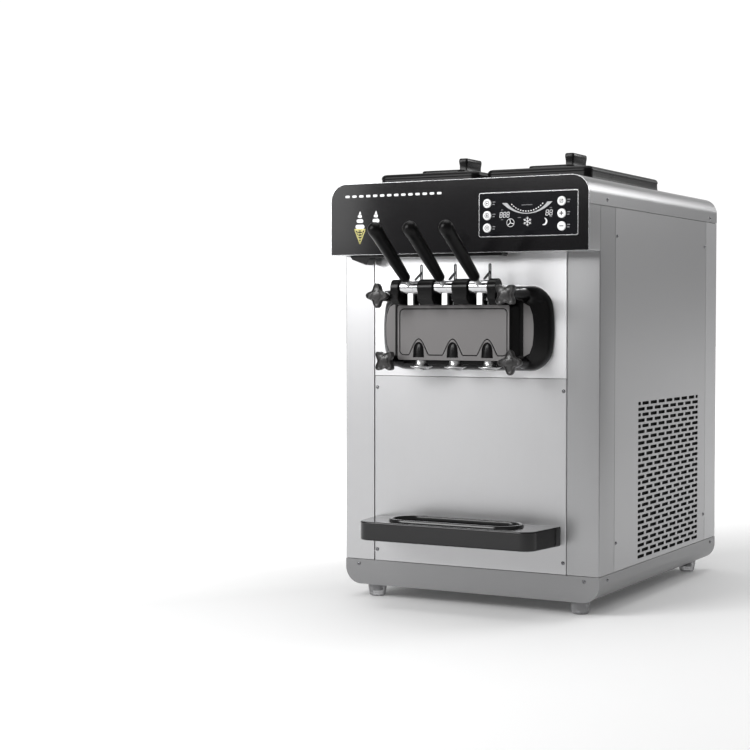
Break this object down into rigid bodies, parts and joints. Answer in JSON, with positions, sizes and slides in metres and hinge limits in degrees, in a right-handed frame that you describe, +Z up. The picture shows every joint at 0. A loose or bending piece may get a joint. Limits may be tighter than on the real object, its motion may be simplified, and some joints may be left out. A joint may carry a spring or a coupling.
{
  "type": "soft serve machine",
  "caption": "Countertop soft serve machine with covered hoppers, draw handles on a black dispensing head, a touch header and a drip tray.",
  "frame": {"origin": "on the surface that the feet stand on, under the middle of the whole machine from handle tips to cable gland", "axes": "+Z up, -Y to the front where the handles and the drip tray are, +X to the right of a person facing the front"},
  "size_m": [0.54, 0.9484, 0.883],
  "materials": {
    "steel": "brushed stainless sheet",
    "gloss_black": "gloss black moulding",
    "black_plastic": "satin black moulding",
    "chrome": "polished",
    "white_button": "white cap with a grey symbol",
    "foot_plastic": "cloudy grey",
    "black_paint": "semi gloss",
    "cast_metal": "as cast",
    "fin_metal": "plain sheet fins",
    "belt_rubber": "moulded"
  },
  "bodies": {
    "cabinet": {"base_pan": "steel", "top_cover": "steel", "front_post_left": "steel", "front_post_right": "steel", "front_panel_upper": "steel", "front_panel_lower": "steel", "side_panel_left": "steel", "side_panel_right": "steel", "rear_panel": "steel", "header_housing": "steel", "hopper_left": "steel", "hopper_right": "steel", "freezing_cylinder_left": "steel", "freezing_cylinder_right": "steel", "header_fascia": "gloss_black", "display_panel": "gloss_black", "head_body": "black_plastic", "header_lamp": "black_plastic", "cable_gland": "black_plastic", "pivot_pin": "chrome", "nozzle_cap_left": "chrome", "nozzle_cap_centre": "chrome", "nozzle_cap_right": "chrome", "foot_front_left": "foot_plastic", "foot_front_right": "foot_plastic", "foot_rear_left": "foot_plastic", "foot_rear_right": "foot_plastic", "compressor": "black_paint", "drive_motor": "black_paint", "gearbox": "cast_metal", "condenser": "fin_metal", "drive_belt": "belt_rubber"},
    "draw_lever_left": {"lever_left": "chrome", "lever_grip_left": "black_plastic"},
    "valve_left": {"valve_piston_left": "chrome"},
    "draw_lever_centre": {"lever_centre": "chrome", "lever_grip_centre": "black_plastic"},
    "valve_centre": {"valve_piston_centre": "chrome"},
    "draw_lever_right": {"lever_right": "chrome", "lever_grip_right": "black_plastic"},
    "valve_right": {"valve_piston_right": "chrome"},
    "knob_upper_left": {"star_knob_upper_left": "black_plastic"},
    "knob_upper_right": {"star_knob_upper_right": "black_plastic"},
    "knob_lower_left": {"star_knob_lower_left": "black_plastic"},
    "knob_lower_right": {"star_knob_lower_right": "black_plastic"},
    "key_left_top": {"button_left_top": "white_button"},
    "key_left_middle": {"button_left_middle": "white_button"},
    "key_left_bottom": {"button_left_bottom": "white_button"},
    "lid_left": {"hopper_lid_left": "black_plastic"},
    "key_right_top": {"button_right_top": "white_button"},
    "key_right_middle": {"button_right_middle": "white_button"},
    "key_right_bottom": {"button_right_bottom": "white_button"},
    "lid_right": {"hopper_lid_right": "black_plastic"},
    "tray": {"drip_tray": "gloss_black"},
    "tray_insert": {"drip_insert": "black_plastic"},
    "gearbox_input": {"gearbox_pulley": "cast_metal"},
    "motor_output": {"motor_pulley": "cast_metal"},
    "beater_spin_left": {"beater_left": "chrome"},
    "beater_spin_right": {"beater_right": "chrome"},
    "fan": {"condenser_fan": "black_plastic"}
  },
  "joints": [
    {"name": "draw_lever_left_pull", "type": "hinge", "parent": "cabinet", "child": "draw_lever_left", "pos_m": [-0.072, -0.3198, 0.612], "axis": [1, 0, 0], "range_deg": [0, 22]},
    {"name": "valve_left_lift", "type": "slide", "parent": "cabinet", "child": "valve_left", "axis": [0, 0, 1], "range_m": [0, 0.0162]},
    {"name": "draw_lever_centre_pull", "type": "hinge", "parent": "cabinet", "child": "draw_lever_centre", "pos_m": [0, -0.3198, 0.612], "axis": [1, 0, 0], "range_deg": [0, 22]},
    {"name": "valve_centre_lift", "type": "slide", "parent": "cabinet", "child": "valve_centre", "axis": [0, 0, 1], "range_m": [0, 0.0162]},
    {"name": "draw_lever_right_pull", "type": "hinge", "parent": "cabinet", "child": "draw_lever_right", "pos_m": [0.072, -0.3198, 0.612], "axis": [1, 0, 0], "range_deg": [0, 22]},
    {"name": "valve_right_lift", "type": "slide", "parent": "cabinet", "child": "valve_right", "axis": [0, 0, 1], "range_m": [0, 0.0162]},
    {"name": "knob_upper_left_turn", "type": "hinge", "parent": "cabinet", "child": "knob_upper_left", "pos_m": [-0.133, -0.3448, 0.597], "axis": [0, 1, 0], "continuous": true},
    {"name": "knob_upper_right_turn", "type": "hinge", "parent": "cabinet", "child": "knob_upper_right", "pos_m": [0.133, -0.3448, 0.597], "axis": [0, 1, 0], "continuous": true},
    {"name": "knob_lower_left_turn", "type": "hinge", "parent": "cabinet", "child": "knob_lower_left", "pos_m": [-0.131, -0.3198, 0.473], "axis": [0, 1, 0], "continuous": true},
    {"name": "knob_lower_right_turn", "type": "hinge", "parent": "cabinet", "child": "knob_lower_right", "pos_m": [0.131, -0.3198, 0.473], "axis": [0, 1, 0], "continuous": true},
    {"name": "key_left_top_press", "type": "slide", "parent": "cabinet", "child": "key_left_top", "axis": [0, 1, 0], "range_m": [0, 0.001], "stiffness_N_per_m": 800},
    {"name": "key_left_middle_press", "type": "slide", "parent": "cabinet", "child": "key_left_middle", "axis": [0, 1, 0], "range_m": [0, 0.001], "stiffness_N_per_m": 800},
    {"name": "key_left_bottom_press", "type": "slide", "parent": "cabinet", "child": "key_left_bottom", "axis": [0, 1, 0], "range_m": [0, 0.001], "stiffness_N_per_m": 800},
    {"name": "lid_left_lift", "type": "slide", "parent": "cabinet", "child": "lid_left", "axis": [0, 0, 1], "range_m": [0, 0.15]},
    {"name": "key_right_top_press", "type": "slide", "parent": "cabinet", "child": "key_right_top", "axis": [0, 1, 0], "range_m": [0, 0.001], "stiffness_N_per_m": 800},
    {"name": "key_right_middle_press", "type": "slide", "parent": "cabinet", "child": "key_right_middle", "axis": [0, 1, 0], "range_m": [0, 0.001], "stiffness_N_per_m": 800},
    {"name": "key_right_bottom_press", "type": "slide", "parent": "cabinet", "child": "key_right_bottom", "axis": [0, 1, 0], "range_m": [0, 0.001], "stiffness_N_per_m": 800},
    {"name": "lid_right_lift", "type": "slide", "parent": "cabinet", "child": "lid_right", "axis": [0, 0, 1], "range_m": [0, 0.15]},
    {"name": "tray_pull", "type": "slide", "parent": "cabinet", "child": "tray", "axis": [0, -1, 0], "range_m": [0, 0.15]},
    {"name": "tray_insert_lift", "type": "slide", "parent": "tray", "child": "tray_insert", "axis": [0, 0, 1], "range_m": [0, 0.08]},
    {"name": "gearbox_pulley_spin", "type": "hinge", "parent": "cabinet", "child": "gearbox_input", "pos_m": [0, 0.1752, 0.528], "axis": [0, 1, 0], "continuous": true},
    {"name": "motor_pulley_spin", "type": "hinge", "parent": "cabinet", "child": "motor_output", "pos_m": [0, 0.1752, 0.15], "axis": [0, 1, 0], "continuous": true},
    {"name": "beater_left_spin", "type": "hinge", "parent": "cabinet", "child": "beater_spin_left", "pos_m": [-0.076, -0.0628, 0.528], "axis": [0, 1, 0], "continuous": true},
    {"name": "beater_right_spin", "type": "hinge", "parent": "cabinet", "child": "beater_spin_right", "pos_m": [0.076, -0.0628, 0.528], "axis": [0, 1, 0], "continuous": true},
    {"name": "condenser_fan_spin", "type": "hinge", "parent": "cabinet", "child": "fan", "pos_m": [0.14, 0.1602, 0.225], "axis": [1, 0, 0], "continuous": true}
  ],
  "couplings": [
    {"joint": "valve_left_lift", "follows": "draw_lever_left_pull", "m_per_rad": 0.0417},
    {"joint": "valve_centre_lift", "follows": "draw_lever_centre_pull", "m_per_rad": 0.0417},
    {"joint": "valve_right_lift", "follows": "draw_lever_right_pull", "m_per_rad": 0.0417},
    {"joint": "motor_pulley_spin", "follows": "gearbox_pulley_spin", "ratio": 3},
    {"joint": "beater_left_spin", "follows": "gearbox_pulley_spin", "ratio": 0.25},
    {"joint": "beater_right_spin", "follows": "gearbox_pulley_spin", "ratio": -0.25}
  ]
}
